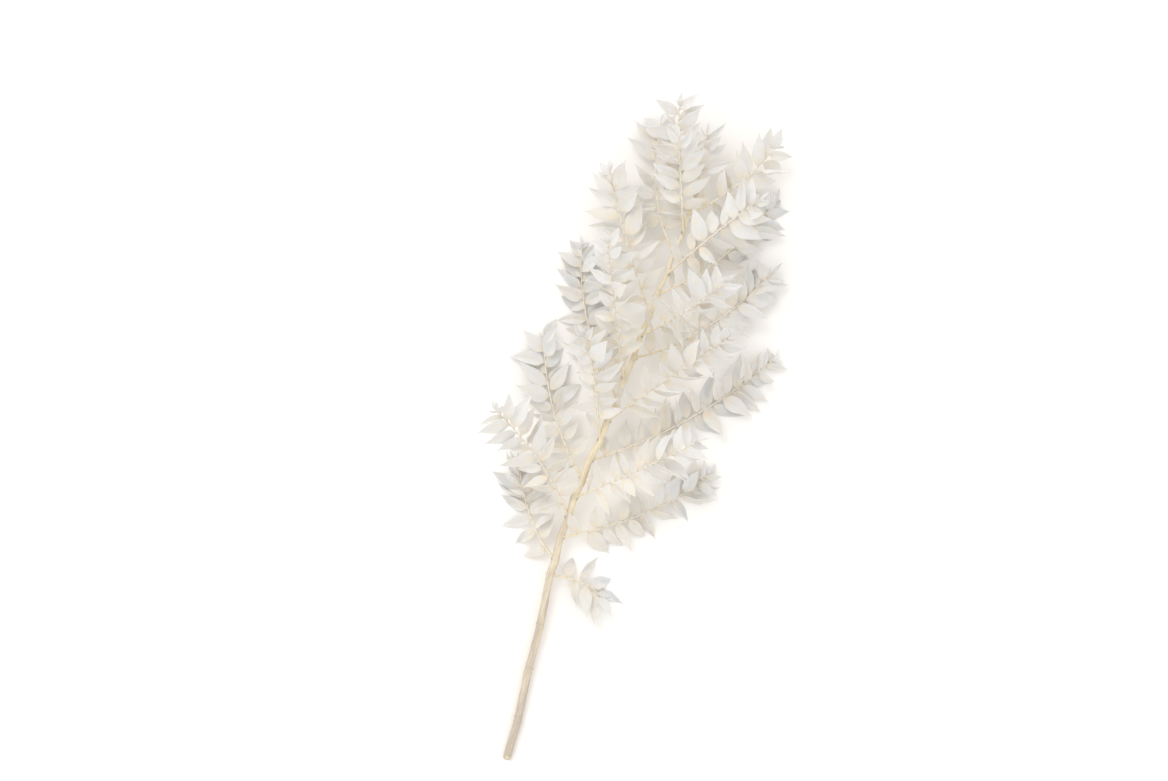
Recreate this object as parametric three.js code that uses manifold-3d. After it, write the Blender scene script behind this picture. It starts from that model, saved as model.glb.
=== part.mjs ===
// A cut stem of dried, bleached ruscus, lying on a flat surface. Millimetres, +Z up.
//
// The main stem runs along +Y from its cut end to its growing tip, bare below and leafy above.
// Its foliage is borne on side sprays: each is a thin twig with alternate, pointed leaves. All
// of it is worked out from the main stem's line and the list of sprays, with the cut end at
// X = 0 and Y = 0, and is then moved so that the origin lies on the surface, under the middle
// of the stem's box.

import * as THREE from "three";
import { mergeVertices } from "three/addons/utils/BufferGeometryUtils.js";
import Module from "manifold-3d";

const wasm = await Module();
wasm.setup();

const UP = new THREE.Vector3(0, 0, 1);

// Where the middle of the stem's box lies, seen from the cut end.
const MIDDLE_X = 17.8;
const MIDDLE_Y = 340.8;

// Main stem. Its line is given at equal steps along Y, as [across, height of its centre].
const STEM_LENGTH = 650;
const STEM_LINE = [
  [0, 3.61],
  [-3, 5.7],
  [-8, 8.5],
  [-12, 13],
  [-9, 18],
  [0, 23],
  [5, 28],
  [11, 32.5],
  [16, 36],
  [10, 38],
];
const BUTT_RADIUS = 3.9;
const TIP_RADIUS = 0.8;
const TAPER = 2.6; // above 1, most of the taper is towards the tip
const STEM_SIDES = 8;
const CUT_SLANT = 0.8; // how far the cut leans along the stem, per millimetre of height
const JOINT_SWELLING = 0.4;
const JOINT_REACH = 4;
const ZIGZAG = 0.9; // how far the stem steps aside at each joint

// Joints of the bare lower stem, and the scale leaf that each one bears.
const BARE_JOINTS = [38, 88, 134];
const SCALE_LENGTH = 6;
const SCALE_WIDTH = 2.6;
const SCALE_SPREAD = 22;

// Side sprays: [place along the stem, direction around it, length, how far the twig points away
// from the stem at its root and at its end]. The direction is in degrees, with 0 to +X and 90
// upwards, and the first spray, which is a weak one, hangs back.
const SPRAYS = [
  [188, -12, 66, 84, 128],
  [203, 196, 112, 60, 24],
  [226, -6, 168, 60, 30],
  [247, 152, 142, 40, 64],
  [268, 34, 146, 50, 46],
  [288, 192, 160, 54, 22],
  [308, -16, 218, 52, 26],
  [330, 134, 122, 38, 50],
  [351, 30, 150, 34, 34],
  [373, 204, 168, 52, 18],
  [396, 146, 142, 36, 32],
  [418, -10, 168, 58, 26],
  [441, 50, 118, 54, 36],
  [463, 180, 152, 42, 32],
  [485, -22, 160, 52, 18],
  [507, 38, 122, 34, 40],
  [529, 202, 140, 52, 10],
  [550, 132, 100, 34, 34],
  [570, -4, 114, 52, 20],
  [590, 168, 94, 36, 8],
];
const TWIG_ROOT_RADIUS = 1.15;
const TWIG_TIP_RADIUS = 0.7;
const TWIG_SIDES = 4;
const TWIG_STEPS = 6;
const WANDER = 14; // how far a twig strays from an even bend, in degrees
const DROOP = 0.16; // how much a twig sags towards its end
const TWIG_REST = 3.2; // height at which a twig comes to lie over the surface
const TWIG_EASE = 4;
const SEAT_GAP = 0.3; // between a spray's root and the main stem

// Leaves.
const LEAF_LENGTH = 34;
const LEAF_WIDTH = 0.43; // as a share of the length
const LEAF_THICKNESS = 0.7;
const STALK_LENGTH = 0.06; // a leaf's short stalk, as a share of its length
const LEAF_SPACING = 6.4;
const FIRST_LEAF = 17; // from a twig's root
const LAST_SINK = 1.5; // how far the last leaf is set into a twig's end
const CROWDING = 0.82; // below 1, leaves stand closer towards a twig's end
const TURN = 30; // how far a spray's leaves may be turned round its twig together, in degrees
const LEADER_START = 606; // where leaves begin on the main stem itself
const LEADER_SPACING = 5.5;
const BLADE_STATIONS = [0, 0.28, 0.66, 1];
const GUARD_STATIONS = [0.16, 0.28, 0.66, 1];
const GUARD_THICKNESS = 2.4; // room that a blade keeps from what it must not cross
const PITCHES = [0, 13, -13, 26, -26, 40, -40]; // how far a blade may bend to stay clear, in degrees

const SEED = 7;

const radians = THREE.MathUtils.degToRad;
const lerp = THREE.MathUtils.lerp;

// Numbers between two limits, the same ones on each run.
function draws(seed) {
  let state = seed;
  return (low, high) => {
    state = (state + 0x6d2b79f5) | 0;
    let t = Math.imul(state ^ (state >>> 15), state | 1);
    t ^= t + Math.imul(t ^ (t >>> 7), t | 61);
    return lerp(low, high, ((t ^ (t >>> 14)) >>> 0) / 4294967296);
  };
}

const joints = [...BARE_JOINTS, ...SPRAYS.map((spray) => spray[0])];
const corners = [0, ...joints, STEM_LENGTH];

// The main stem's centre line. It steps a little from side to side at its joints.
class StemCurve extends THREE.Curve {
  constructor() {
    super();
    const step = STEM_LENGTH / (STEM_LINE.length - 1);
    this.line = new THREE.CatmullRomCurve3(
      STEM_LINE.map(([x, z], i) => new THREE.Vector3(x, i * step, z)),
      false,
      "catmullrom",
    );
  }

  getPoint(t, target = new THREE.Vector3()) {
    this.line.getPoint(t, target);
    const y = THREE.MathUtils.clamp(t, 0, 1) * STEM_LENGTH;
    const i = Math.max(1, corners.findIndex((corner) => corner >= y));
    const share = (y - corners[i - 1]) / (corners[i] - corners[i - 1]);
    const ends = [i - 1, i].map((n) => {
      if (n === 0 || n === corners.length - 1) return 0;
      return n % 2 ? ZIGZAG : -ZIGZAG;
    });
    target.x += lerp(ends[0], ends[1], share);
    return target;
  }
}

// A spray's twig: it turns from one spread to the other, less or more than halfway at its
// middle, sags, and lies over the surface where it would otherwise go through it.
class TwigCurve extends THREE.Curve {
  constructor(root, along, outward, length, rootSpread, endSpread, wander) {
    super();
    const spreads = [rootSpread, (rootSpread + endSpread) / 2 + wander, endSpread];
    const ways = spreads.map((spread) => heading(along, outward, spread));
    ways[2].addScaledVector(UP, -DROOP).normalize();
    const points = [root];
    for (const way of ways) points.push(points.at(-1).clone().addScaledVector(way, length / 3));
    this.line = new THREE.CubicBezierCurve3(...points);
  }

  getPoint(t, target = new THREE.Vector3()) {
    this.line.getPoint(t, target);
    const over = target.z - TWIG_REST;
    target.z = TWIG_REST + (over + Math.hypot(over, TWIG_EASE)) / 2;
    return target;
  }
}

// The direction that leaves `along` by some degrees towards `outward`.
function heading(along, outward, degrees) {
  return along
    .clone()
    .multiplyScalar(Math.cos(radians(degrees)))
    .addScaledVector(outward, Math.sin(radians(degrees)));
}

// The part of `vector` that is square to `axis`, one unit long.
function squareTo(vector, axis) {
  return vector.clone().addScaledVector(axis, -vector.dot(axis)).normalize();
}

// A closed mesh through rings of points that all turn the same way. The faces of a ring's
// second half are split along the other diagonal, so that a blade's two sides are split alike.
function loft(rings) {
  const sides = rings[0].length;
  const positions = [];
  const face = (...points) => points.forEach((p) => positions.push(p.x, p.y, p.z));
  for (let k = 2; k < sides; k++) {
    face(rings[0][0], rings[0][k], rings[0][k - 1]);
    face(rings.at(-1)[0], rings.at(-1)[k - 1], rings.at(-1)[k]);
  }
  for (let r = 1; r < rings.length; r++) {
    for (let i = 0; i < sides; i++) {
      const j = (i + 1) % sides;
      const [a, b, c, d] = [rings[r - 1][i], rings[r - 1][j], rings[r][j], rings[r][i]];
      if (i < sides / 2) {
        face(a, b, c);
        face(a, c, d);
      } else {
        face(a, b, d);
        face(b, c, d);
      }
    }
  }
  const geometry = new THREE.BufferGeometry();
  geometry.setAttribute("position", new THREE.Float32BufferAttribute(positions, 3));
  return geometry;
}

// A geometry as a manifold-3d solid. Faces that a pointed end has brought to nothing go.
function solidOf(geometry) {
  const merged = mergeVertices(geometry, 1e-4);
  const index = merged.index.array;
  const kept = [];
  for (let i = 0; i < index.length; i += 3) {
    const [a, b, c] = index.slice(i, i + 3);
    if (a !== b && b !== c && c !== a) kept.push(a, b, c);
  }
  return new wasm.Manifold(
    new wasm.Mesh({
      numProp: 3,
      vertProperties: merged.attributes.position.array,
      triVerts: new Uint32Array(kept),
    }),
  );
}

// A manifold-3d solid as a geometry for a mesh.
function geometryOf(solid) {
  const mesh = solid.getMesh();
  const geometry = new THREE.BufferGeometry();
  geometry.setAttribute("position", new THREE.BufferAttribute(mesh.vertProperties, 3));
  geometry.setIndex(new THREE.BufferAttribute(mesh.triVerts, 1));
  return geometry;
}

// A ring of points round a curve, `radius` from it and square to it.
function ringAt(curve, t, radius, sides) {
  const centre = curve.getPoint(t);
  const along = curve.getTangent(t);
  const side = new THREE.Vector3().crossVectors(along, UP).normalize();
  const up = new THREE.Vector3().crossVectors(side, along);
  return Array.from({ length: sides }, (_, i) => {
    const angle = ((i + 0.5) / sides) * 2 * Math.PI;
    return centre
      .clone()
      .addScaledVector(side, radius * Math.sin(angle))
      .addScaledVector(up, -radius * Math.cos(angle));
  }).reverse();
}

const stemCurve = new StemCurve();

// The main stem without leaves, tapering from its slanted cut to its tip and a little thicker
// at each joint. `extra` is added to its radius.
function stemSolid(extra) {
  const places = BARE_JOINTS.flatMap((y) => [y - JOINT_REACH, y, y + JOINT_REACH]);
  const leafy = SPRAYS.map((spray) => spray[0]);
  const rings = [0, ...places, ...leafy, STEM_LENGTH].map((y) => {
    const radius = lerp(BUTT_RADIUS, TIP_RADIUS, (y / STEM_LENGTH) ** TAPER);
    const swelling = joints.includes(y) ? JOINT_SWELLING : 0;
    return ringAt(stemCurve, y / STEM_LENGTH, radius + swelling + extra, STEM_SIDES);
  });
  const middle = stemCurve.getPoint(0).z;
  rings[0].forEach((point) => (point.y = (point.z - middle) * CUT_SLANT));
  return solidOf(loft(rings));
}

function twigSolid(curve) {
  const rings = Array.from({ length: TWIG_STEPS + 1 }, (_, i) => {
    const t = i / TWIG_STEPS;
    return ringAt(curve, t, lerp(TWIG_ROOT_RADIUS, TWIG_TIP_RADIUS, t), TWIG_SIDES);
  });
  return solidOf(loft(rings));
}

// A leaf's half width at a share t of its length, as a share of its greatest: a short stalk,
// and a blade that is round at its base, widest below the middle and drawn out to a point.
function outline(t) {
  const rise = 0.65;
  const fall = 1.3;
  const widest = rise / (rise + fall);
  const along = Math.max(0, (t - STALK_LENGTH) / (1 - STALK_LENGTH));
  return (along / widest) ** rise * ((1 - along) / (1 - widest)) ** fall;
}

// The leaves of a twig or of the stem's tip, from `first` along its `reach` on, alternating
// from side to side, with the last one pointing on. `face` is the way that their upper sides
// look.
function leavesOn(curve, reach, first, spacing, face, seed) {
  const draw = draws(seed);
  const turn = draw(-TURN, TURN);
  const count = Math.round((reach - first) / spacing);
  return Array.from({ length: count + 1 }, (_, i) => {
    const share = i / count;
    const t = lerp(first, reach - LAST_SINK, share ** CROWDING) / reach;
    const along = curve.getTangent(Math.min(t, 0.999));
    const level = squareTo(face, along);
    const normal = heading(level, new THREE.Vector3().crossVectors(along, level), turn);
    const hand = i % 2 ? 1 : -1;
    const across = new THREE.Vector3().crossVectors(along, normal).multiplyScalar(hand);
    const last = i === count;
    const lean = last ? draw(-10, 10) : lerp(76, 44, share) + draw(-13, 13);
    const size = lerp(0.88, 1.18, share) * (1 - 0.62 * share ** 6);
    const length = LEAF_LENGTH * size * draw(0.8, 1.13);
    const width = length * LEAF_WIDTH * draw(0.82, 1.13) * (last ? 0.85 : 1);
    const pitch = draw(-20, 24);
    const roll = 70 * draw(-1, 1) ** 3 + 10 * hand;
    const curl = draw(-28, 56);
    const sway = draw(-0.2, 0.2);
    const root = curve.getPoint(t);
    const ahead = heading(along, across, lean);
    return { root, ahead, normal, length, width, pitch, roll, curl, sway };
  });
}

// The rings of a leaf's blade, bent by `bend` degrees from where it grew. Where it would go
// through the surface, it lies on it.
function bladeRings(leaf, bend, stations, thickness) {
  const ahead = heading(leaf.ahead, leaf.normal, leaf.pitch + bend);
  ahead.z = Math.max(ahead.z, -leaf.root.z / leaf.length);
  ahead.normalize();
  const level = squareTo(leaf.normal, ahead);
  const side = new THREE.Vector3().crossVectors(ahead, level);
  const normal = heading(level, side, leaf.roll);
  side.crossVectors(ahead, normal);
  const curl = radians(leaf.curl);
  return stations.map((t) => {
    const turned = curl * t;
    const centre = leaf.root
      .clone()
      .addScaledVector(ahead, (leaf.length * Math.sin(turned)) / curl)
      .addScaledVector(normal, (-leaf.length * (1 - Math.cos(turned))) / curl)
      .addScaledVector(side, leaf.length * leaf.sway * t ** 2);
    const out = normal.clone().multiplyScalar(Math.cos(turned));
    out.addScaledVector(ahead, Math.sin(turned));
    const halfWidth = (leaf.width / 2) * outline(t);
    return [
      [-1, 1],
      [1, 1],
      [1, -1],
      [-1, -1],
    ].map(([across, over]) => {
      const corner = centre
        .clone()
        .addScaledVector(side, across * halfWidth)
        .addScaledVector(out, (over * thickness) / 2);
      corner.z = Math.max(corner.z, over * out.z > 0 ? thickness : 0);
      return corner;
    });
  });
}

// What is in place so far: solids with their boxes and the node that each belongs to.
const placed = [];

function place(solid, node) {
  placed.push({ solid, node, box: boxOf(solid) });
}

function boxOf(solid) {
  const { min, max } = solid.boundingBox();
  return new THREE.Box3(new THREE.Vector3(...min), new THREE.Vector3(...max));
}

function isClear(guard, isIgnored) {
  const box = boxOf(guard);
  return placed.every(
    (piece) =>
      isIgnored(piece) ||
      !box.intersectsBox(piece.box) ||
      guard.intersect(piece.solid).isEmpty(),
  );
}

// The blades of the leaves that find room, each bent as little as keeps it clear of every
// other blade and of the twigs that it doesn't grow on.
function placeLeaves(leaves, node, carrier) {
  const blades = [];
  for (const leaf of leaves) {
    const bend = PITCHES.find((degrees) => {
      const guard = solidOf(loft(bladeRings(leaf, degrees, GUARD_STATIONS, GUARD_THICKNESS)));
      return isClear(guard, (piece) => piece.solid === carrier);
    });
    if (bend === undefined) continue;
    const blade = solidOf(loft(bladeRings(leaf, bend, BLADE_STATIONS, LEAF_THICKNESS)));
    place(blade, node);
    blades.push(blade);
  }
  return blades;
}

// A small scale leaf that stands at a joint of the bare stem.
function scaleSolid(joint, index) {
  const t = joint / STEM_LENGTH;
  const along = stemCurve.getTangent(t);
  const side = new THREE.Vector3().crossVectors(along, UP).normalize();
  const outward = side.multiplyScalar(index % 2 ? 1 : -1);
  const scale = {
    root: stemCurve.getPoint(t).addScaledVector(outward, BUTT_RADIUS / 2),
    ahead: heading(along, outward, SCALE_SPREAD),
    normal: outward,
    length: SCALE_LENGTH,
    width: SCALE_WIDTH,
    pitch: 0,
    roll: 0,
    curl: 10,
    sway: 0,
  };
  return solidOf(loft(bladeRings(scale, 0, [0, 0.42, 1], LEAF_THICKNESS)));
}

const barkMaterial = new THREE.MeshStandardMaterial({
  name: "bark",
  color: 0xe6d6bb,
  roughness: 0.7,
  metalness: 0,
});
const leafMaterial = new THREE.MeshStandardMaterial({
  name: "leaf",
  color: 0xe9e3d8,
  roughness: 0.75,
  metalness: 0,
});

const group = new THREE.Group();
group.position.set(-MIDDLE_X, -MIDDLE_Y, 0);

function addNode(name, solid, material) {
  const mesh = new THREE.Mesh(geometryOf(solid), material);
  mesh.name = name;
  group.add(mesh);
}

// The twigs come first, so that every leaf can be kept clear of all of them.
const stem = stemSolid(0);
place(stem, "main_stem");
const drawWander = draws(SEED);
const sprays = SPRAYS.map(([y, direction, length, rootSpread, endSpread], i) => {
  const node = `spray_${String(i + 1).padStart(2, "0")}`;
  const t = y / STEM_LENGTH;
  const along = stemCurve.getTangent(t);
  const side = new THREE.Vector3().crossVectors(along, UP).normalize();
  const up = new THREE.Vector3().crossVectors(side, along);
  const outward = heading(side, up, direction);
  const root = stemCurve.getPoint(t);
  const wander = drawWander(-WANDER, WANDER);
  const curve = new TwigCurve(root, along, outward, length, rootSpread, endSpread, wander);
  const twig = twigSolid(curve);
  place(twig, node);
  return { node, curve, length, outward, twig };
});

const leader = leavesOn(stemCurve, STEM_LENGTH, LEADER_START, LEADER_SPACING, UP, SEED);
const leaderBlades = placeLeaves(leader, "main_stem", stem);
const scales = BARE_JOINTS.map(scaleSolid);
addNode("main_stem", wasm.Manifold.union([stem, ...scales, ...leaderBlades]), barkMaterial);

const seat = stemSolid(SEAT_GAP);
sprays.forEach(({ node, curve, length, outward, twig }, i) => {
  const face = UP.clone().addScaledVector(outward, 0.35);
  const leaves = leavesOn(curve, length, FIRST_LEAF, LEAF_SPACING, face, SEED + i + 1);
  const blades = placeLeaves(leaves, node, twig);
  addNode(node, wasm.Manifold.union([twig, ...blades]).subtract(seat), leafMaterial);
});

export default group;
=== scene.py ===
"""A cut stem of dried, bleached ruscus, lying on a white surface and seen from above.

The stem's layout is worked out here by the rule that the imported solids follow, in millimetres
from the cut end. Each solid is then replaced by finer pieces along the same lines: bark, twigs
and papery leaves. Angles are in degrees, except where a comment says otherwise.
"""

import math

import bpy
import numpy as np
from mathutils.kdtree import KDTree
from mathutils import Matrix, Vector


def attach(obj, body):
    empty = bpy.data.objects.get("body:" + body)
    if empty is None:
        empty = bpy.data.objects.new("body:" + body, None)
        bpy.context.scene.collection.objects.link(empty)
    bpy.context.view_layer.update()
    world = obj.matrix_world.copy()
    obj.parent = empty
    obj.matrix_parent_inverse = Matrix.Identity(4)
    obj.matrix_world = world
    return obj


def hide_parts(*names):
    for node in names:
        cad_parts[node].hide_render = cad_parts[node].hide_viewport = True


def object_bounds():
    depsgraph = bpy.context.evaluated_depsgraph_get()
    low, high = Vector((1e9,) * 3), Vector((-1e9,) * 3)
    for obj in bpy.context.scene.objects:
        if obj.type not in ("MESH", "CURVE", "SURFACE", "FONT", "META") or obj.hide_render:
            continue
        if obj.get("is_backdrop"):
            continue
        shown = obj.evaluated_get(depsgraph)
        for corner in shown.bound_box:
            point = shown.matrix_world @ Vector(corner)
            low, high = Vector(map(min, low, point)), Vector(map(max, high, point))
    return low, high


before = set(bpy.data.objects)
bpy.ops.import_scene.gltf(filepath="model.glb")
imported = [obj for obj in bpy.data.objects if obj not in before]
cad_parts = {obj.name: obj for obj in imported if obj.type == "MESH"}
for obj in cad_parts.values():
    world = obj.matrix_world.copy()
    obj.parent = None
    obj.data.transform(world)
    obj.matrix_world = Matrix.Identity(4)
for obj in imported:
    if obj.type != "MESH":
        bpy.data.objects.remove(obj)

CAD_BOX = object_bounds()
MM = 0.001
UP = np.array([0.0, 0.0, 1.0])

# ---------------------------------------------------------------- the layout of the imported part

# Where the frame's origin lies: on the surface, under the middle of the stem's box.
MIDDLE = np.array([17.8, 340.8, 0.0])

# Main stem. Its line is given at equal steps along Y, as its place across and its height.
STEM_LENGTH = 650
STEM_LINE = [
    (0, 3.61),
    (-3, 5.7),
    (-8, 8.5),
    (-12, 13),
    (-9, 18),
    (0, 23),
    (5, 28),
    (11, 32.5),
    (16, 36),
    (10, 38),
]
BUTT_RADIUS = 3.9
TIP_RADIUS = 0.8
TAPER = 2.6  # above 1, most of the taper is towards the tip
CUT_SLANT = 0.8  # how far the cut leans along the stem, per millimetre of height
ZIGZAG = 0.9  # how far the stem steps aside at each joint
BARE_JOINTS = [38, 88, 134]

# Side sprays: place along the stem, direction around it, length, and how far the twig points
# away from the stem at its root and at its end. A direction of 0 is to +X, and 90 is upwards.
SPRAYS = [
    (188, -12, 66, 84, 128),
    (203, 196, 112, 60, 24),
    (226, -6, 168, 60, 30),
    (247, 152, 142, 40, 64),
    (268, 34, 146, 50, 46),
    (288, 192, 160, 54, 22),
    (308, -16, 218, 52, 26),
    (330, 134, 122, 38, 50),
    (351, 30, 150, 34, 34),
    (373, 204, 168, 52, 18),
    (396, 146, 142, 36, 32),
    (418, -10, 168, 58, 26),
    (441, 50, 118, 54, 36),
    (463, 180, 152, 42, 32),
    (485, -22, 160, 52, 18),
    (507, 38, 122, 34, 40),
    (529, 202, 140, 52, 10),
    (550, 132, 100, 34, 34),
    (570, -4, 114, 52, 20),
    (590, 168, 94, 36, 8),
]
WANDER = 14  # how far a twig strays from an even bend
DROOP = 0.16  # how much a twig sags towards its end
TWIG_REST = 3.2  # height at which a twig comes to lie over the surface
TWIG_EASE = 4  # how gently it comes level there
FACE_OUT = 0.35  # how much a spray's leaves look away from the stem, beside upwards

# Leaves. A range holds the least and the most.
LEAF_LENGTH = 34
LEAF_WIDTH = 0.43  # as a share of the length
LEAF_THICKNESS = 0.7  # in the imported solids
STALK_LENGTH = 0.06  # a leaf's short stalk, as a share of its length
LEAF_SPACING = 6.4
FIRST_LEAF = 17  # from a twig's root
LAST_SINK = 1.5  # how far the last leaf is set into a twig's end
CROWDING = 0.82  # below 1, leaves stand closer towards a twig's end
TURN = 30  # how far a shoot's leaves may be turned round it together
LEADER_START = 606  # where leaves begin on the main stem itself
LEADER_SPACING = 5.5
LEANS = (76, 44)  # how far leaves point away from their shoot, at its root and at its end
LEAN_STRAY = 13  # how far a leaf may stray from that
LAST_LEAN = 10  # and how far the last leaf may point to either side
SIZES = (0.88, 1.18)  # of leaves at a shoot's root and at its end, as shares of the usual
END_LOSS = 0.62  # what the last few leaves lack of that
END_SHARPNESS = 6  # the higher, the fewer leaves are small
LENGTH_RANGE = (0.8, 1.13)
WIDTH_RANGE = (0.82, 1.13)
LAST_WIDTH = 0.85
PITCH_RANGE = (-20, 24)  # how far a leaf is raised out of its shoot's plane
ROLL_MOST = 70  # how far it may be turned about its length, to either side
ROLL_OUT = 10  # and how far each is turned so besides, to its own side
CURL_RANGE = (-28, 56)  # how far it bends back between its root and its point
SWAY_MOST = 0.2  # how far its point may lie to one side, as a share of its length
BENDS = [0, 13, -13, 26, -26, 40, -40]  # how far a packed leaf may be bent from where it grew
TIP_MATCH = 0.1  # how near a leaf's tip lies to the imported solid's own

SEED = 7
JOINTS = BARE_JOINTS + [spray[0] for spray in SPRAYS]
CORNERS = [0, *JOINTS, STEM_LENGTH]  # where the stem's small steps turn
TANGENT_STEP = 1e-4
LAST_TANGENT = 0.999  # past this share of a line, its direction stays as it is there


def lerp(a, b, t):
    return a + (b - a) * t


def unit(vector):
    return vector / np.linalg.norm(vector)


def square_to(vector, axis):
    """The part of a vector that is square to an axis, one unit long."""
    return unit(vector - axis * np.dot(vector, axis))


def heading(along, outward, degrees):
    """The direction that leaves along by some degrees towards outward."""
    angle = math.radians(degrees)
    return along * math.cos(angle) + outward * math.sin(angle)


def draws(seed):
    """Mulberry32 numbers between two limits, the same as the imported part's source draws."""
    state, word = seed, 0xFFFFFFFF

    def draw(low, high):
        nonlocal state
        state = (state + 0x6D2B79F5) & word
        t = ((state ^ (state >> 15)) * (state | 1)) & word
        t ^= (t + (((t ^ (t >> 7)) * (t | 61)) & word)) & word
        return lerp(low, high, (t ^ (t >> 14)) / (word + 1))

    return draw


def stem_point(t):
    """A point of the main stem's line, at a share t of its length: a curve with small steps."""
    knots = np.array(STEM_LINE, float)
    first, last = 2 * knots[0] - knots[1], 2 * knots[-1] - knots[-2]
    padded = np.vstack([first, knots, last])
    place = t * (len(knots) - 1)
    i = min(int(place), len(knots) - 2)
    w = place - i
    p0, p1, p2, p3 = padded[i : i + 4]
    m1, m2 = (p2 - p0) / 2, (p3 - p1) / 2
    x, z = p1 + m1 * w + (3 * (p2 - p1) - 2 * m1 - m2) * w**2 + (2 * (p1 - p2) + m1 + m2) * w**3
    y = t * STEM_LENGTH
    steps = [0, *[ZIGZAG if n % 2 else -ZIGZAG for n in range(1, len(CORNERS) - 1)], 0]
    return np.array([x + np.interp(y, CORNERS, steps), y, z])


def twig_line(root, along, outward, length, spreads):
    """The centre line of a spray's twig, as a function of the share of its length."""
    ways = [heading(along, outward, spread) for spread in spreads]
    ways[2] = unit(ways[2] - DROOP * UP)
    bends = root + np.cumsum(ways, axis=0) * length / 3

    def point(t):
        p = (1 - t) ** 3 * root + 3 * (1 - t) ** 2 * t * bends[0]
        p += 3 * (1 - t) * t**2 * bends[1] + t**3 * bends[2]
        over = p[2] - TWIG_REST
        p[2] = TWIG_REST + (over + math.hypot(over, TWIG_EASE)) / 2
        return p

    return point


def tangent(point, t):
    """The direction of a line at a share t of its length."""
    t = min(t, LAST_TANGENT)
    return unit(point(t + TANGENT_STEP) - point(max(t - TANGENT_STEP, 0)))


def stem_ways(y, direction):
    """The way that the main stem runs at y, and the one that leaves it in a direction round it."""
    along = tangent(stem_point, y / STEM_LENGTH)
    side = unit(np.cross(along, UP))
    return along, heading(side, np.cross(side, along), direction)


def outline(t):
    """A leaf's half width at a share t of its length, as a share of its greatest."""
    rise, fall = 0.65, 1.3
    widest = rise / (rise + fall)
    along = np.maximum(0, (t - STALK_LENGTH) / (1 - STALK_LENGTH))
    return (along / widest) ** rise * (np.maximum(0, 1 - along) / (1 - widest)) ** fall


def leaves_on(point, reach, first, spacing, face, seed):
    """The leaves of a twig or of the stem's tip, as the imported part's source draws them."""
    draw = draws(seed)
    turn = draw(-TURN, TURN)
    count = math.floor((reach - first) / spacing + 0.5)
    leaves = []
    for i in range(count + 1):
        share = i / count
        t = lerp(first, reach - LAST_SINK, share**CROWDING) / reach
        along = tangent(point, t)
        level = square_to(face, along)
        normal = heading(level, np.cross(along, level), turn)
        hand = 1 if i % 2 else -1
        across = np.cross(along, normal) * hand
        last = i == count
        if last:
            lean = draw(-LAST_LEAN, LAST_LEAN)
        else:
            lean = lerp(*LEANS, share) + draw(-LEAN_STRAY, LEAN_STRAY)
        size = lerp(*SIZES, share) * (1 - END_LOSS * share**END_SHARPNESS)
        length = LEAF_LENGTH * size * draw(*LENGTH_RANGE)
        width = length * LEAF_WIDTH * draw(*WIDTH_RANGE) * (LAST_WIDTH if last else 1)
        leaf = {
            "t": t,
            "hand": hand,
            "root": point(t),
            "along": along,
            "across": across,
            "normal": normal,
            "ahead": heading(along, across, lean),
            "length": length,
            "width": width,
            "pitch": draw(*PITCH_RANGE),
            "roll": ROLL_MOST * draw(-1, 1) ** 3 + ROLL_OUT * hand,
            "curl": draw(*CURL_RANGE),
            "sway": draw(-SWAY_MOST, SWAY_MOST),
        }
        leaves.append(leaf)
    return leaves


def blade_axes(leaf, bend):
    """The directions of a leaf's blade at its root: ahead, to its side, and out of its face."""
    ahead = heading(leaf["ahead"], leaf["normal"], leaf["pitch"] + bend)
    ahead[2] = max(ahead[2], -leaf["root"][2] / leaf["length"])
    ahead = unit(ahead)
    level = square_to(leaf["normal"], ahead)
    normal = heading(level, np.cross(ahead, level), leaf["roll"])
    return ahead, np.cross(ahead, normal), normal


def blade_spine(leaf, axes, t):
    """The middle line of a blade at shares t of its length, and its outward direction there."""
    ahead, side, normal = axes
    t = np.asarray(t, float)[..., None]
    curl = math.radians(leaf["curl"])
    turned, length = curl * t, leaf["length"]
    spine = leaf["root"] + ahead * length * np.sin(turned) / curl
    spine = spine - normal * length * (1 - np.cos(turned)) / curl
    spine = spine + side * length * leaf["sway"] * t**2
    return spine, normal * np.cos(turned) + ahead * np.sin(turned)


def as_packed(leaves, node):
    """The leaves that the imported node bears, each with the bend that it has there."""
    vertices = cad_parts[node].data.vertices
    tree = KDTree(len(vertices))
    for i, vertex in enumerate(vertices):
        tree.insert(vertex.co, i)
    tree.balance()
    kept = []
    for leaf in leaves:
        for bend in BENDS:
            axes = blade_axes(leaf, bend)
            tip, out = blade_spine(leaf, axes, 1)
            top = tip + out * LEAF_THICKNESS / 2
            top[2] = max(top[2], LEAF_THICKNESS if out[2] > 0 else 0)
            if tree.find((top - MIDDLE) * MM)[2] < TIP_MATCH * MM:
                kept.append(leaf | {"axes": axes})
                break
    return kept


def sprays():
    """Each spray's node, line, length and leaves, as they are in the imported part."""
    wander = draws(SEED)
    for i, (y, direction, length, first, last) in enumerate(SPRAYS):
        node = f"spray_{i + 1:02d}"
        along, outward = stem_ways(y, direction)
        spreads = (first, (first + last) / 2 + wander(-WANDER, WANDER), last)
        point = twig_line(stem_point(y / STEM_LENGTH), along, outward, length, spreads)
        face = UP + FACE_OUT * outward
        leaves = leaves_on(point, length, FIRST_LEAF, LEAF_SPACING, face, SEED + i + 1)
        yield node, point, length, as_packed(leaves, node)


# ------------------------------------------------------------------------------- building meshes

SHARP_ANGLE = 50  # edges that turn by more than this aren't smoothed


def new_object(name, data):
    """A new object, put in the scene."""
    obj = bpy.data.objects.new(name, data)
    bpy.context.scene.collection.objects.link(obj)
    return obj


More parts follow.
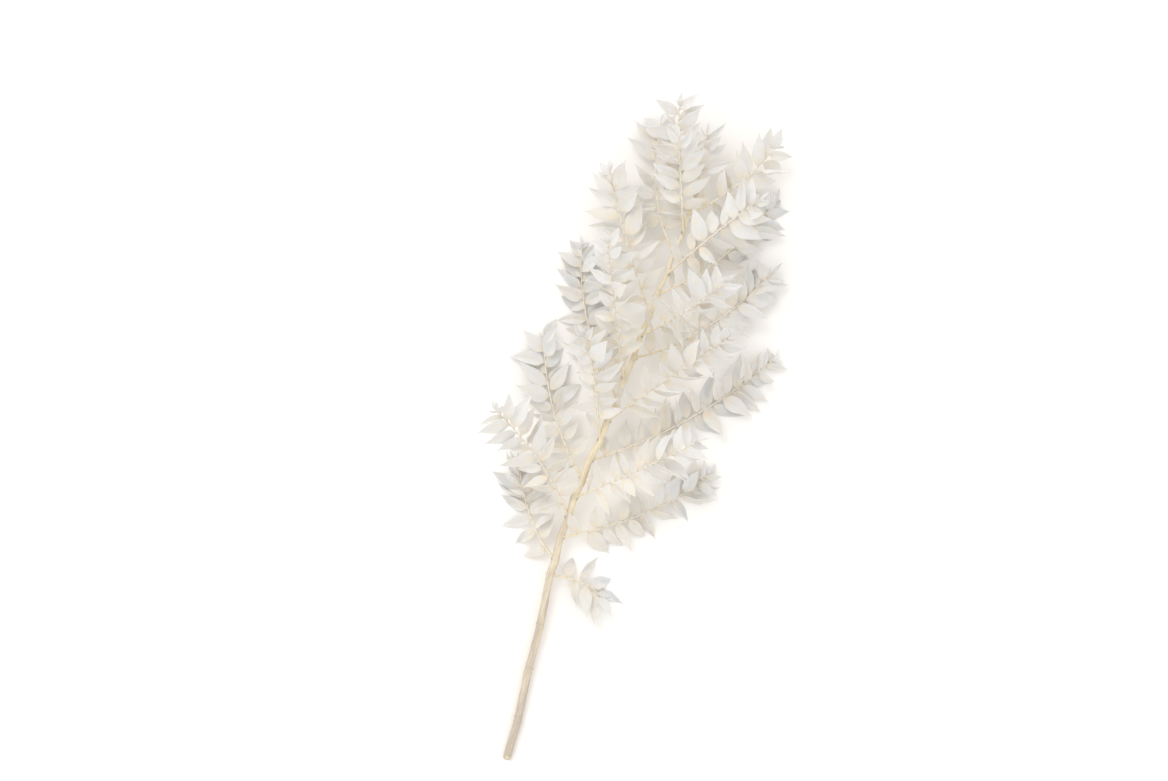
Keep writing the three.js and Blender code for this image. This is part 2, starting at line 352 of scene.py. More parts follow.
class Skin:
    """Points and faces that are gathered into one piece, with values for each point."""

    def __init__(self):
        self.points, self.faces, self.values, self.count = [], [], [], 0

    def add(self, points, faces, **values):
        points = np.asarray(points, float).reshape(-1, 3)
        self.points.append(points)
        self.faces += [tuple(int(i) + self.count for i in face) for face in faces]
        self.values.append({k: np.broadcast_to(v, len(points)) for k, v in values.items()})
        self.count += len(points)

    def dress(self, node, kind, slot, material):
        """Makes the mesh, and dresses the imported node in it."""
        mesh = bpy.data.meshes.new(f"{node}_{kind}")
        points = (np.vstack(self.points) - MIDDLE) * MM
        mesh.from_pydata(points.tolist(), [], self.faces)
        for key in self.values[0]:
            layer = mesh.attributes.new(key, "FLOAT", "POINT")
            layer.data.foreach_set("value", np.concatenate([v[key] for v in self.values]))
        mesh.shade_smooth()
        mesh.set_sharp_from_angle(angle=math.radians(SHARP_ANGLE))
        mesh.materials.append(material)
        obj = new_object(mesh.name, mesh)
        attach(obj, "root")
        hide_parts(node)


def grid_faces(rows, columns, turned_over):
    """The faces of a grid of points."""
    index = np.arange(rows * columns).reshape(rows, columns)
    corners = [index[:-1, :-1], index[1:, :-1], index[1:, 1:], index[:-1, 1:]]
    faces = np.stack(corners, -1).reshape(-1, 4)
    return faces[:, [0, 3, 2, 1]] if turned_over else faces


def sheet(top, bottom):
    """Points and faces of the closed sheet between two grids of points."""
    rows, columns = top.shape[:2]
    size = rows * columns
    index = np.arange(size).reshape(rows, columns)
    edge = [*index[:, 0], *index[-1, 1:], *index[-2::-1, -1], *index[0, -2:0:-1]]
    rim = [(a, b, b + size, a + size) for a, b in zip(edge, edge[1:] + edge[:1])]
    faces = [*grid_faces(rows, columns, True), *(grid_faces(rows, columns, False) + size), *rim]
    return np.vstack([top.reshape(-1, 3), bottom.reshape(-1, 3)]), faces


def tube(rings):
    """Points and faces of the closed skin through rings of points."""
    count, sides = rings.shape[:2]
    faces = [tuple(range(sides)), tuple(range((count - 1) * sides, count * sides))[::-1]]
    for r in range(count - 1):
        for i in range(sides):
            j = (i + 1) % sides
            a, b = r * sides, (r + 1) * sides
            faces.append((a + i, b + i, b + j, a + j))
    return rings.reshape(-1, 3), faces


def rings_along(point, stations, radii, offsets=None):
    """Rings round a line: radii holds a row for each station and a column for each side."""
    angles = np.arange(radii.shape[1]) / radii.shape[1] * 2 * math.pi
    rings = []
    for n, t in enumerate(stations):
        along = tangent(point, t)
        side = unit(np.cross(along, UP))
        up = np.cross(side, along)
        centre = point(t) + (0 if offsets is None else offsets[n])
        round_it = np.outer(np.cos(angles), up) + np.outer(np.sin(angles), -side)
        rings.append(centre + round_it * radii[n][:, None])
    return np.array(rings)


def hump(distance, width):
    """A smooth hump: 1 at no distance, about a third at its width, and soon nothing."""
    return np.exp(-((distance / width) ** 2))


# ------------------------------------------------------------------------------------- materials

MIX_INPUTS = (0, 6, 7)  # the Mix node's sockets for the share and the two colours
MIX_OUTPUT = 2
VEINS = 5  # on each side of a leaf's midrib
VEIN_FINENESS = 14.0
LEAF_SHIFT = 90  # parts the patterns of leaves with unlike tints


class Nodes:
    """A material's node tree, with short ways to add to it."""

    def __init__(self, name):
        self.material = bpy.data.materials.new(name)
        self.material.use_nodes = True
        self.tree = self.material.node_tree

    def add(self, kind, inputs=(), **settings):
        node = self.tree.nodes.new(kind)
        for key, value in settings.items():
            setattr(node, key, value)
        for key, value in dict(inputs).items():
            self.put(node, key, value)
        return node

    def put(self, node, key, value):
        if isinstance(value, bpy.types.NodeSocket):
            self.tree.links.new(value, node.inputs[key])
        else:
            node.inputs[key].default_value = value

    def shade(self, inputs):
        """Sets the shader's inputs, and gives the material."""
        for key, value in inputs.items():
            self.put(self.tree.nodes["Principled BSDF"], key, value)
        return self.material

    def math(self, operation, *values):
        inputs = dict(enumerate(values))
        return self.add("ShaderNodeMath", inputs, operation=operation).outputs[0]

    def times(self, value, factor):
        return self.math("MULTIPLY", value, factor)

    def total(self, first, *others):
        for value in others:
            first = self.math("ADD", first, value)
        return first

    def attribute(self, name):
        return self.add("ShaderNodeAttribute", attribute_name=name).outputs["Fac"]

    def step(self, value, low, high, to_low=0.0, to_high=1.0):
        """A smooth step from to_low, at low, to to_high, at high."""
        inputs = {"Value": value, "From Min": low, "From Max": high}
        inputs |= {"To Min": to_low, "To Max": to_high}
        node = self.add("ShaderNodeMapRange", inputs, interpolation_type="SMOOTHSTEP")
        return node.outputs["Result"]

    def mix(self, share, first, second):
        inputs = zip(MIX_INPUTS, (share, first, second))
        return self.add("ShaderNodeMix", inputs, data_type="RGBA").outputs[MIX_OUTPUT]

    def place(self):
        """Object coordinates, in metres."""
        return self.add("ShaderNodeTexCoord").outputs["Object"]

    def noise(self, vector, scale, detail):
        """Noise over a vector that is first scaled along each axis."""
        scaled = self.add("ShaderNodeMapping", {"Vector": vector, "Scale": scale}).outputs[0]
        inputs = {"Vector": scaled, "Scale": 1.0, "Detail": detail}
        return self.add("ShaderNodeTexNoise", inputs).outputs["Fac"]

    def bump(self, height, distance, strength):
        inputs = {"Height": height, "Distance": distance, "Strength": strength}
        return self.add("ShaderNodeBump", inputs).outputs["Normal"]


def colour(red, green, blue):
    return (red, green, blue, 1.0)


def leaf_material():
    """Papery off-white, creamier at the stalk and along the veins, with a browned point. Leaves
    nearer a shoot's root are creamier too, partly as painted warm bounce light.
    """
    white = colour(0.72, 0.712, 0.7)
    cream = colour(0.77, 0.687, 0.552)
    fibre = colour(0.62, 0.57, 0.49)
    brown = colour(0.42, 0.33, 0.23)
    n = Nodes("leaf")
    across, along, tint = (n.attribute(name) for name in ("across", "along", "tint"))
    waves = n.math("COSINE", n.times(across, math.pi * VEINS))
    veins = n.math("POWER", n.math("ABSOLUTE", waves), VEIN_FINENESS)
    place = n.add("ShaderNodeCombineXYZ", {"X": across, "Y": along, "Z": tint}).outputs[0]
    fibres = n.noise(place, (16, 2.2, LEAF_SHIFT), 4.0)
    blotches = n.noise(place, (1.6, 3, LEAF_SHIFT), 3.0)

    stalk = n.step(along, 0.0, 0.4, 0.45, 0.0)
    midrib = n.step(n.math("ABSOLUTE", across), 0.02, 0.09, 0.3, 0.0)
    patches = n.step(blotches, 0.35, 0.75, -0.15, 0.25)
    # tint makes leaves near a shoot's root creamier: partly bleaching, partly painted warm bounce
    # light between the leaves
    warmth = n.total(n.times(tint, 0.55), stalk, midrib, n.times(veins, 0.12), patches)
    base = n.mix(n.step(warmth, 0.0, 1.1), white, cream)
    base = n.mix(n.step(fibres, 0.3, 0.75, 0.0, 0.14), base, fibre)
    ragged = n.total(along, n.times(blotches, 0.03))
    base = n.mix(n.step(ragged, 0.965, 1.0, 0.0, 0.5), base, brown)
    height = n.total(n.times(veins, 0.5), n.times(fibres, 0.8))
    inputs = {
        "Base Color": base,
        "Roughness": n.step(fibres, 0.2, 0.8, 0.58, 0.74),
        "Specular IOR Level": 0.35,
        "Subsurface Weight": 0.9,
        "Subsurface Radius": (1.0, 0.92, 0.8),
        "Subsurface Scale": 0.0006,
        "Normal": n.bump(height, 0.00018, 0.6),
    }
    return n.shade(inputs)


def bark_material():
    """Dry bleached bark with grain: cream, greyish beige where it is old, pale at twigs' ends and
    up the main stem's crown, where the paleness is partly painted light.
    """
    young = colour(0.85, 0.736, 0.522)
    old = colour(0.545, 0.455, 0.36)
    pale = colour(0.808, 0.756, 0.66)
    dark_grain = colour(0.44, 0.34, 0.24)
    light_grain = colour(0.9, 0.85, 0.76)
    speck = colour(0.33, 0.25, 0.18)
    brown = colour(0.42, 0.33, 0.23)
    n = Nodes("bark")
    age, joint = n.attribute("age"), n.attribute("joint")
    place = n.place()
    grain = n.noise(place, (1500, 60, 1500), 4.0)
    patches = n.noise(place, (140, 22, 140), 3.0)
    specks = n.noise(place, (900, 500, 900), 2.0)

    wear_and_light = n.total(age, n.step(patches, 0.3, 0.7, -0.3, 0.3))
    base = n.mix(n.step(wear_and_light, 0.0, 1.0), young, old)
    # pale: at twigs' ends the bark's own colour; up the main stem's crown partly painted light
    # against the sprays' shade
    base = n.mix(n.step(age, 0.0, -0.5, 0.0, 0.8), base, pale)
    base = n.mix(n.step(grain, 0.45, 0.72, 0.0, 0.34), base, dark_grain)
    base = n.mix(n.step(grain, 0.5, 0.25, 0.0, 0.3), base, light_grain)
    base = n.mix(n.step(specks, 0.66, 0.74, 0.0, 0.5), base, speck)
    base = n.mix(n.times(joint, 0.55), base, brown)
    height = n.total(grain, n.times(specks, 0.3))
    inputs = {
        "Base Color": base,
        "Roughness": n.step(grain, 0.3, 0.7, 0.5, 0.75),
        "Specular IOR Level": 0.4,
        "Normal": n.bump(height, 0.0003, 0.7),
    }
    return n.shade(inputs)


def scale_material():
    """Thin dry scales, brown at the point."""
    root = colour(0.66, 0.55, 0.41)
    point = colour(0.30, 0.22, 0.15)
    light_grain = colour(0.7, 0.62, 0.5)
    n = Nodes("scale")
    grain = n.noise(n.place(), (1200, 250, 1200), 3.0)
    base = n.mix(n.step(n.attribute("along"), 0.1, 0.9), root, point)
    base = n.mix(n.times(grain, 0.3), base, light_grain)
    return n.shade({"Base Color": base, "Roughness": 0.7, "Normal": n.bump(grain, 0.0002, 0.5)})


def cut_material():
    """The cut face: pale wood with a paler pith."""
    pith = colour(0.86, 0.80, 0.68)
    wood = colour(0.70, 0.58, 0.41)
    pore = colour(0.4, 0.31, 0.2)
    n = Nodes("cut")
    pores = n.noise(n.place(), (2600, 2600, 2600), 3.0)
    base = n.mix(n.step(n.attribute("along"), 0.2, 0.45), pith, wood)
    base = n.mix(n.step(pores, 0.5, 0.7, 0.0, 0.45), base, pore)
    return n.shade({"Base Color": base, "Roughness": 0.8, "Normal": n.bump(pores, 0.0003, 0.8)})


# ---------------------------------------------------------------------------------------- leaves

BLADE_ROWS = 17
BLADE_COLUMNS = 9
RIB_CROWDING = 1.25  # above 1, a blade's points stand closer at its midrib
PAPER = 0.3  # thickness of a dried blade
PAPER_START = 0.2  # share of the length at which it has come down to that
STALK = 0.8  # thickness of its stalk at the root
STALK_TAPER = 0.8  # share of that which the stalk's end keeps
STALK_WIDTH = 0.06  # as a share of the leaf's greatest width
TIP_WIDTH = 0.02
BLADE_REST = 0.1  # a blade's least height over the surface

# Relief of a blade. A pair holds the least and the most.
TWIST = 0.3  # from root to point, in radians
FOLDS = (-6, 26)  # how far a blade is folded up along its midrib
TIGHT_FOLDS = (26, 44)
TIGHT_SHARE = 0.15  # of blades that are folded so
FOLD_START = 0.3  # share of the length at which the fold has grown to its full angle
FOLD_LEVEL = 0.45  # share of the half width at which the folded blade crosses its plane
FOLD_ROUNDING = 0.06  # of the fold's edge, as a share of the half width
WAVES = (1.1, 2.1)  # along a margin
WAVE_HEIGHTS = (0.03, 0.13)  # as a share of the half width
WAVE_EDGE = 2.2  # above 1, waves keep to the margins
POINT_START = 0.72  # share of the length past which the point turns
POINT_TURNS = (-0.3, 0.5)  # how sharply it turns back
RIPPLES = (3, 4.5)  # along a blade
RIPPLE_SLANT = 3  # how far a ripple lags from midrib to margin, in radians
RIPPLE_HEIGHTS = (0.1, 0.3)  # in millimetres
RIPPLE_ROOM = 5  # half width from which ripples have their full height
RIB_DEPTH = 0.12  # of the groove over the midrib
RIB_WIDTH = 0.09  # as a share of the half width
RIB_ROOM = 3  # half width from which the groove has its full depth

# A leaf's tint runs from white to cream. Its share by place is partly the leaves' bleaching and
# partly painted warm light, bounced between the leaves deeper in a spray.
TINT_BY_CHANCE = 0.4
TINT_AND_PAINTED_BOUNCE_BY_PLACE = 0.7  # how much creamier leaves are at a shoot's root than at its end

# Young leaves at a shoot's end. A pair holds the least and the most.
YOUNG_ROWS = 9
YOUNG_COLUMNS = 5
YOUNG_LENGTHS = (8, 12)
YOUNG_WIDTHS = (0.3, 0.4)
YOUNG_LIFTS = (24, 38)  # how far one is raised, and the other lowered
YOUNG_LEANS = (30, 50)
YOUNG_ROLL = 50
YOUNG_CURLS = (10, 60)
YOUNG_SWAY = 0.15
YOUNG_SINK = 1.5  # how far below the last leaf's root they have their own

# Scales. A kind says how far from the middle of its shoot a scale is rooted, as a share of the
# radius, how far below its joint, how far it points outwards, its length and its width.
SCALE_ROWS = 6
SCALE_COLUMNS = 5
SCALE_CURL = 10
SCALE_THICKNESS = 0.16
SCALE_HOLLOW = 0.45  # how far its sides bend round its shoot, as a share of its half width
SCALE_ROUNDNESS = 1.6  # above 1, it keeps its width for longer
SCALE_TAPER = 0.97  # share of its width that it loses by its point
JOINT_SCALE = {"depth": 0.75, "drop": 0, "spread": 22, "length": 6, "width": 2.6}
SPRAY_SCALE = {"depth": 0.8, "drop": 3, "spread": 30, "length": 5.5, "width": 3}
LEAF_SCALE = {"depth": 0.7, "drop": 1.3, "spread": 24, "length": 2.6, "width": 1.3}


def blade_relief(look, length, t, u, half):
    """A blade's fold at shares t of its length, and how far each point is out of its plane.

    t and half, the half width, are columns. u, the place across from -1 to 1, is a row.
    """
    folds = FOLDS if look.random() < 1 - TIGHT_SHARE else TIGHT_FOLDS
    fold = math.radians(look.uniform(*folds)) * np.clip(t / FOLD_START, 0, 1)
    lift = half * np.sin(fold) * (np.hypot(u, FOLD_ROUNDING) - FOLD_LEVEL)
    left, right = look.uniform(0, 2 * math.pi, 2)
    waves = look.uniform(*WAVES) * 2 * math.pi * t + np.where(u < 0, left, right)
    lift = lift + half * look.uniform(*WAVE_HEIGHTS) * np.abs(u) ** WAVE_EDGE * np.sin(waves)
    lift = lift - look.uniform(*POINT_TURNS) * length * np.clip(t - POINT_START, 0, 1) ** 2
    ripples = look.uniform(*RIPPLES) * 2 * math.pi * t
    ripples = ripples + look.uniform(-RIPPLE_SLANT, RIPPLE_SLANT) * u
    height = look.uniform(*RIPPLE_HEIGHTS) * np.clip(half / RIPPLE_ROOM, 0, 1)
    groove = RIB_DEPTH * hump(u, RIB_WIDTH) * np.clip(half / RIB_ROOM, 0, 1)
    return fold, lift + height * np.sin(ripples) - groove


def add_blade(skin, leaf, look, rows=BLADE_ROWS, columns=BLADE_COLUMNS):
    """Adds a leaf's blade: folded along its midrib, wavy at its margins, turned at its point."""
    t = (1 - np.cos(np.linspace(0, math.pi, rows))) / 2
    u = np.linspace(-1, 1, columns)
    u = np.sign(u) * np.abs(u) ** RIB_CROWDING
    _, side, _ = leaf["axes"]
    spine, out = blade_spine(leaf, leaf["axes"], t)
    twist = look.uniform(-TWIST, TWIST) * t[:, None]
    across = side * np.cos(twist) + out * np.sin(twist)
    out = out * np.cos(twist) - side * np.sin(twist)

    least = np.where(t < 0.5, STALK_WIDTH, TIP_WIDTH)
    half = leaf["width"] / 2 * np.maximum(outline(t), least)[:, None]
    fold, lift = blade_relief(look, leaf["length"], t[:, None], u[None, :], half)
    middle = spine[:, None] + across[:, None] * (u[None, :] * half * np.cos(fold))[..., None]
    shares = [0, STALK_LENGTH, PAPER_START, 1]
    thick = np.interp(t, shares, [STALK, STALK * STALK_TAPER, PAPER, PAPER])[:, None]
    top = middle + out[:, None] * (lift + thick / 2)[..., None]
    bottom = middle + out[:, None] * (lift - thick / 2)[..., None]
    sunk = np.minimum(np.minimum(top[..., 2], bottom[..., 2]) - BLADE_REST, 0)
    top[..., 2] -= sunk
    bottom[..., 2] -= sunk
    points, faces = sheet(top, bottom)
    # creamier towards the shoot's root: partly bleaching, partly painted warm bounce light between
    # the leaves
    tint = TINT_BY_CHANCE * look.random() + TINT_AND_PAINTED_BOUNCE_BY_PLACE * (1 - leaf["t"])
    along_value = np.tile(np.repeat(t, columns), 2)
    skin.add(points, faces, along=along_value, across=np.tile(u, 2 * rows), tint=tint)


def add_young(skin, leaf, look):
    """Adds two small leaves that unfold beside a shoot's last one, over it and under it."""
    for hand in (-1, 1):
        young = dict(leaf)
        young["length"] = look.uniform(*YOUNG_LENGTHS)
        young["pitch"] = hand * look.uniform(*YOUNG_LIFTS)
        young["root"] = leaf["root"] - leaf["along"] * YOUNG_SINK
        young["width"] = young["length"] * look.uniform(*YOUNG_WIDTHS)
        lean = look.uniform(*YOUNG_LEANS)
        young["ahead"] = heading(leaf["along"], leaf["across"] * hand, lean)
        young["roll"] = look.uniform(-YOUNG_ROLL, YOUNG_ROLL)
        young["curl"] = look.uniform(*YOUNG_CURLS)
        young["sway"] = look.uniform(-YOUNG_SWAY, YOUNG_SWAY)
        young["axes"] = blade_axes(young, 0)
        add_blade(skin, young, look, YOUNG_ROWS, YOUNG_COLUMNS)


def scale_at(root, ahead, normal, kind):
    """A scale, described as a leaf is: it stands at root and points ahead."""
    axes = (ahead, np.cross(ahead, normal), normal)
    return kind | {"root": root, "axes": axes, "curl": SCALE_CURL, "sway": 0}


def leaf_scale(leaf, radius):
    """The small scale below a leaf, on a shoot of some radius."""
    along, across, kind = leaf["along"], leaf["across"], LEAF_SCALE
    root = leaf["root"] + across * radius * kind["depth"] - along * kind["drop"]
    return scale_at(root, heading(along, across, kind["spread"]), across, kind)


def stem_scale(y, direction, kind):
    """A scale of some kind on the main stem, at y and in a direction round it."""
    along, outward = stem_ways(y, direction)
    root = stem_point(y / STEM_LENGTH) + outward * stem_radius(y) * kind["depth"]
    root = root - along * kind["drop"]
    ahead = heading(along, outward, kind["spread"])
    return scale_at(root, ahead, square_to(outward, ahead), kind)


def add_scale(skin, scale):
    """Adds a small pointed scale, hollowed round what it grows on."""
    t = np.linspace(0, 1, SCALE_ROWS)
    u = np.linspace(-1, 1, SCALE_COLUMNS)
    _, side, _ = scale["axes"]
    spine, out = blade_spine(scale, scale["axes"], t)
    half = scale["width"] / 2 * (1 - t**SCALE_ROUNDNESS * SCALE_TAPER)[:, None]
    middle = spine[:, None] + side * (u * half)[..., None]
    lift = -half * SCALE_HOLLOW * u[None, :] ** 2
    top = middle + out[:, None] * (lift + SCALE_THICKNESS)[..., None]
    bottom = middle + out[:, None] * lift[..., None]
    points, faces = sheet(top, bottom)
    skin.add(points, faces, along=np.tile(np.repeat(t, SCALE_COLUMNS), 2))


# ----------------------------------------------------------------------------------------- stems

# Twigs. The bark's age runs from 1, old and greyish, over 0, cream, down to -0.5, pale. On the
# main stem's crown the same value also carries painted light.
TWIG_SIDES = 8
RINGS_PER_LEAF = 4
SPARE_RINGS = 8
TWIG_ROOT = 1.15  # its plain radius at its root
TWIG_TIP = 0.55  # and at its tip
TWIG_END = 0.4  # share of its radius that a twig's last ring keeps
TWIG_FLARE = 0.9  # how much thicker a twig is where it leaves the stem
FLARE_WIDTH = 4.5
TWIG_STEP = 0.22  # how far a twig steps aside at each leaf
KNOT_HEIGHT = 0.2  # how much thicker it is there
KNOT_WIDTH = 1.1
KNOT_BROWN = 0.35
KNOT_BROWN_WIDTH = 0.9
TWIG_AGE = -0.42
ROOT_AGE = 0.6  # how much older a twig's bark is at its root
ROOT_AGE_REACH = 25
TIP_YOUTH = 0.1  # and how much younger at its tip

# Main stem. Its joints have a raised ring with a groove above it.
STEM_SIDES = 28
STEM_RINGS = 260
BARK_FIT = 0.985  # the plain bark's radius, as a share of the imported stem's
RING_HEIGHT = 0.28
RING_WIDTH = 2.4
RING_BROWN = 0.3
GROOVE_DEPTH = 0.08
GROOVE_WIDTH = 1.3
GROOVE_PLACE = 4.2
GROOVE_BROWN = 0.5
SWELLS = [(0.05, 23, 1), (0.04, 9.7, 0)]  # height, run and start of slow swellings
RIBS = 9
RIB_HEIGHT = 0.028  # as a share of the radius
RIB_SWAY = 0.5  # how far the ribs wander sideways: the next one is at 2 pi
RIB_RUN = 41
BARK_ROUGHNESS = 0.016  # as a share of the radius
BARK_ROOM = 0.42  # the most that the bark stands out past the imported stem's plain taper
BARK_REST = 0.02  # its least height over the surface
CUT_REACH = 9  # how far up the stem its rings lean with the cut
# Each place along the stem where an age is given, and that age. Above about 260 mm the values are
# lowered, so the bark is paler: partly its own colour, partly painted light that lifts the shade
# the sprays above cast on the stem.
STEM_AGES_AND_LIGHT = [(0, 0.95), (150, 0.74), (260, 0.22), (420, -0.08), (560, -0.2), (650, -0.35)]
CUT_AGE = 0.25  # how much older its bark is at the cut
CUT_AGE_REACH = 6

# The cut face.
CUT_SIDES = 24
CUT_SHARES = np.array([0.3, 0.62, 0.92])  # radii of its rings, as shares of the stem's
CUT_PROUD = 0.1  # how far it stands out of the bark's end
CUT_DEPTH = 0.5
CUT_ROUGHNESS = 0.03


def twig_radius(t):
    return lerp(TWIG_ROOT, TWIG_TIP, t)


def stem_radius(y):
    return lerp(BUTT_RADIUS, TIP_RADIUS, (y / STEM_LENGTH) ** TAPER)


def add_twig(skin, point, length, leaves):
    """Adds a twig: a little zigzag, swollen at each leaf and flared at its root."""
    stations = np.linspace(0, 1, RINGS_PER_LEAF * len(leaves) + SPARE_RINGS)
    places = np.array([leaf["t"] for leaf in leaves])
    steps = [-TWIG_STEP * leaf["hand"] for leaf in leaves]
    aside = np.interp(stations, [0, *places], [0, *steps])
    sides = np.array([unit(np.cross(tangent(point, t), UP)) for t in stations])
    gaps = np.abs(stations[:, None] - places[None, :]).min(axis=1) * length
    radius = twig_radius(stations) + TWIG_FLARE * hump(stations * length, FLARE_WIDTH)
    radius += KNOT_HEIGHT * hump(gaps, KNOT_WIDTH)
    radius[-1] *= TWIG_END
    radii = np.repeat(radius[:, None], TWIG_SIDES, 1)
    points, faces = tube(rings_along(point, stations, radii, sides * aside[:, None]))
    age = TWIG_AGE + ROOT_AGE * np.exp(-stations * length / ROOT_AGE_REACH)
    age = np.repeat(age - TIP_YOUTH * stations**2, TWIG_SIDES)
    joint = np.repeat(KNOT_BROWN * hump(gaps, KNOT_BROWN_WIDTH), TWIG_SIDES)
    skin.add(points, faces, age=age, joint=joint)


def add_stem(skin):
    """Adds the main stem: ribbed, with a raised ring at each joint and a slanted cut."""
    look = np.random.default_rng(SEED)
    y = np.linspace(0, STEM_LENGTH, STEM_RINGS)
    angles = np.arange(STEM_SIDES) / STEM_SIDES * 2 * math.pi
    gaps = y[:, None] - np.array(JOINTS)[None, :]
    ring = hump(gaps, RING_WIDTH).max(axis=1)
    groove = hump(gaps - GROOVE_PLACE, GROOVE_WIDTH).max(axis=1)
    radius = stem_radius(y) * BARK_FIT + RING_HEIGHT * ring - GROOVE_DEPTH * groove
    radius += sum(height * np.sin(y / run + start) for height, run, start in SWELLS)
    ribs = np.cos(RIBS * angles[None, :] + RIB_SWAY * np.sin(y / RIB_RUN)[:, None])
    rough = look.normal(0, BARK_ROUGHNESS, (STEM_RINGS, STEM_SIDES))
    radii = radius[:, None] * (1 + RIB_HEIGHT * ribs + rough)
    radii = np.minimum(radii, (stem_radius(y) + BARK_ROOM)[:, None])
    rings = rings_along(stem_point, y / STEM_LENGTH, radii)
    rings[..., 2] = np.maximum(rings[..., 2], BARK_REST)
    cut = (rings[..., 2] - stem_point(0)[2]) * CUT_SLANT
    rings[..., 1] += cut * np.clip(1 - y / CUT_REACH, 0, 1)[:, None]
    points, faces = tube(rings)
    # paler up the crown, partly as painted light against the shade of the sprays above
    age = np.interp(y, *zip(*STEM_AGES_AND_LIGHT)) + CUT_AGE * np.exp(-y / CUT_AGE_REACH)
    joint = np.maximum(ring**3 * RING_BROWN, groove * GROOVE_BROWN)
    skin.add(points, faces, age=np.repeat(age, STEM_SIDES), joint=np.repeat(joint, STEM_SIDES))


def add_cut(skin):
    """Adds the cut face: a thin plate of wood, set in the bark's end and a little proud of it."""
    look = np.random.default_rng(SEED)
    centre = stem_point(0)
    count = len(CUT_SHARES)
    radii = np.repeat(stem_radius(0) * CUT_SHARES[:, None], CUT_SIDES, 1)
    rings = rings_along(stem_point, np.zeros(count), radii)[:, ::-1]
    rings[..., 1] += (rings[..., 2] - centre[2]) * CUT_SLANT - CUT_PROUD
    rings[..., 1] += look.normal(0, CUT_ROUGHNESS, rings.shape[:2])
    back = rings[-1] + np.array([0, CUT_DEPTH, 0])
    points = np.vstack([*rings, back, [centre - [0, CUT_PROUD, 0]]])
    hub = len(points) - 1
    faces = []
    for i in range(CUT_SIDES):
        j = (i + 1) % CUT_SIDES
        faces.append((hub, j, i))
        for ring in range(count):
            a, b = ring * CUT_SIDES, (ring + 1) * CUT_SIDES
            faces.append((a + i, a + j, b + j, b + i))
    faces.append(tuple(range(count * CUT_SIDES, hub)))
    along = np.append(np.repeat([*CUT_SHARES, CUT_SHARES[-1]], CUT_SIDES), 0)
    skin.add(points, faces, along=along)


# ----------------------------------------------------------------------------------- the object

SEEDS_PER_SHOOT = 100  # each shoot's leaves have seeds of their own


def add_foliage(blades, scales, leaves, radius, shoot, young_seed):
    """Adds a shoot's leaves, the scale below each one, and the young leaves at its end."""
    for i, leaf in enumerate(leaves):
        add_blade(blades, leaf, np.random.default_rng(shoot * SEEDS_PER_SHOOT + i))
        add_scale(scales, leaf_scale(leaf, radius(leaf["t"])))
    add_young(blades, leaves[-1], np.random.default_rng(young_seed))


def dress_spray(node, point, length, leaves, number, materials):
    """Dresses a spray's node in a twig, leaves and the small scales below them."""
    twig, blades, scales = Skin(), Skin(), Skin()
    add_twig(twig, point, length, leaves)
    add_foliage(blades, scales, leaves, twig_radius, number, number)
    twig.dress(node, "twig", "bark", materials["bark"])
    blades.dress(node, "leaves", "leaf", materials["leaf"])
    scales.dress(node, "scales", "bark", materials["scale"])


def dress_stem(node, materials):
    """Dresses the main stem's node in bark, a cut face, the leaves of its tip, and scales."""
    bark, cut, blades, scales = Skin(), Skin(), Skin(), Skin()
    add_stem(bark)
    add_cut(cut)
    leaves = leaves_on(stem_point, STEM_LENGTH, LEADER_START, LEADER_SPACING, UP, SEED)
    add_foliage(blades, scales, as_packed(leaves, node), lambda t: TIP_RADIUS, 0, SEED)
    for i, y in enumerate(BARE_JOINTS):
        add_scale(scales, stem_scale(y, 0 if i % 2 else 180, JOINT_SCALE))
    for y, direction, *_ in SPRAYS:
        add_scale(scales, stem_scale(y, direction, SPRAY_SCALE))
    bark.dress(node, "bark", "bark", materials["bark"])
    cut.dress(node, "cut", "bark", materials["cut"])
    blades.dress(node, "leaves", "leaf", materials["leaf"])
    scales.dress(node, "scales", "bark", materials["scale"])


def make_object():
    materials = {
        "leaf": leaf_material(),
        "bark": bark_material(),
        "scale": scale_material(),
        "cut": cut_material(),
    }
    for number, spray in enumerate(sprays(), 1):
        dress_spray(*spray, number, materials)
    dress_stem("main_stem", materials)


# ------------------------------------------------------------------------------------- the scene

PHOTO = (1168, 781)
CUT_PIXEL = (507, 757)  # where the cut end shows in the photograph
LEAN = 16.9  # how far the stem leans to the right there
PIXEL = 1.0  # millimetres of the surface that a pixel shows

# In metres and watts.
CAMERA_HEIGHT = 2.5
FLOOR_SIZE = 30
FLOOR_DROP = 0.0003
KEY_PLACE = (-1.6, 1.5, 2.4)
KEY_SIZE = 1.4
KEY_POWER = 24
SKY_STRENGTH = 1.1
DAYLIGHT = (0.965, 0.98, 1.0)


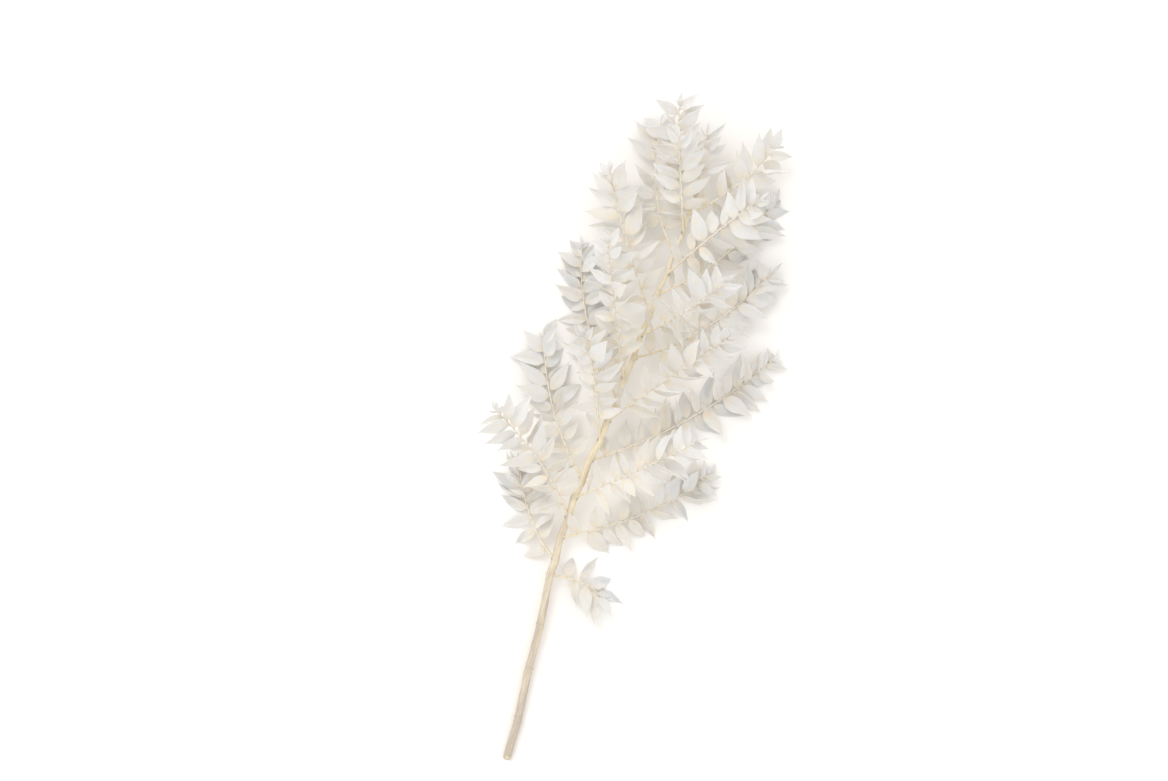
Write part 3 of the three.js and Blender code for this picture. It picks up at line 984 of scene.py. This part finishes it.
def make_camera():
    """Looks straight down, turned and placed so that the stem lies as in the photograph."""
    data = bpy.data.cameras.new("camera")
    camera = new_object("camera", data)
    angle = math.radians(LEAN)
    right = np.array([math.cos(angle), math.sin(angle), 0])
    ahead = np.array([-math.sin(angle), math.cos(angle), 0])
    across = (PHOTO[0] / 2 - CUT_PIXEL[0]) * PIXEL
    down = (CUT_PIXEL[1] - PHOTO[1] / 2) * PIXEL
    centre = (stem_point(0) - MIDDLE + right * across + ahead * down) * MM
    camera.location = (centre[0], centre[1], CAMERA_HEIGHT)
    camera.rotation_euler = (0, 0, angle)
    data.lens = data.sensor_width * CAMERA_HEIGHT / (PHOTO[0] * PIXEL * MM)
    bpy.context.scene.camera = camera


def make_floor():
    """A plain pale floor, just below the stem's lowest points."""
    bpy.ops.mesh.primitive_plane_add(size=FLOOR_SIZE, location=(0, 0, -FLOOR_DROP))
    floor = bpy.context.object
    floor.name = "floor"
    pale = colour(0.96, 0.925, 0.875)
    inputs = {"Base Color": pale, "Roughness": 0.95, "Specular IOR Level": 0.1}
    floor.data.materials.append(Nodes("floor").shade(inputs))
    floor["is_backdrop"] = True


def make_sky():
    """Even daylight from all sides."""
    world = bpy.data.worlds.new("world")
    world.use_nodes = True
    inputs = world.node_tree.nodes["Background"].inputs
    inputs["Color"].default_value = colour(*DAYLIGHT)
    inputs["Strength"].default_value = SKY_STRENGTH
    bpy.context.scene.world = world


def make_light():
    """A soft square light, aimed at the stem's middle."""
    data = bpy.data.lights.new("key", "AREA")
    data.size, data.energy, data.color = KEY_SIZE, KEY_POWER, DAYLIGHT
    light = new_object("key", data)
    light.location = KEY_PLACE
    light.rotation_mode = "QUATERNION"
    light.rotation_quaternion = (-light.location).to_track_quat("-Z", "Y")


def set_view():
    """Shows colours as they are lit, with no look laid over them."""
    view = bpy.context.scene.view_settings
    view.view_transform = "Standard"
    view.look = "None"
    view.exposure = 0.0


make_camera()
make_object()
make_floor()
make_sky()
make_light()
set_view()

boxes = {"cad": CAD_BOX, "visual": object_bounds()}
{k: [list(corner) for corner in box] for k, box in boxes.items()}
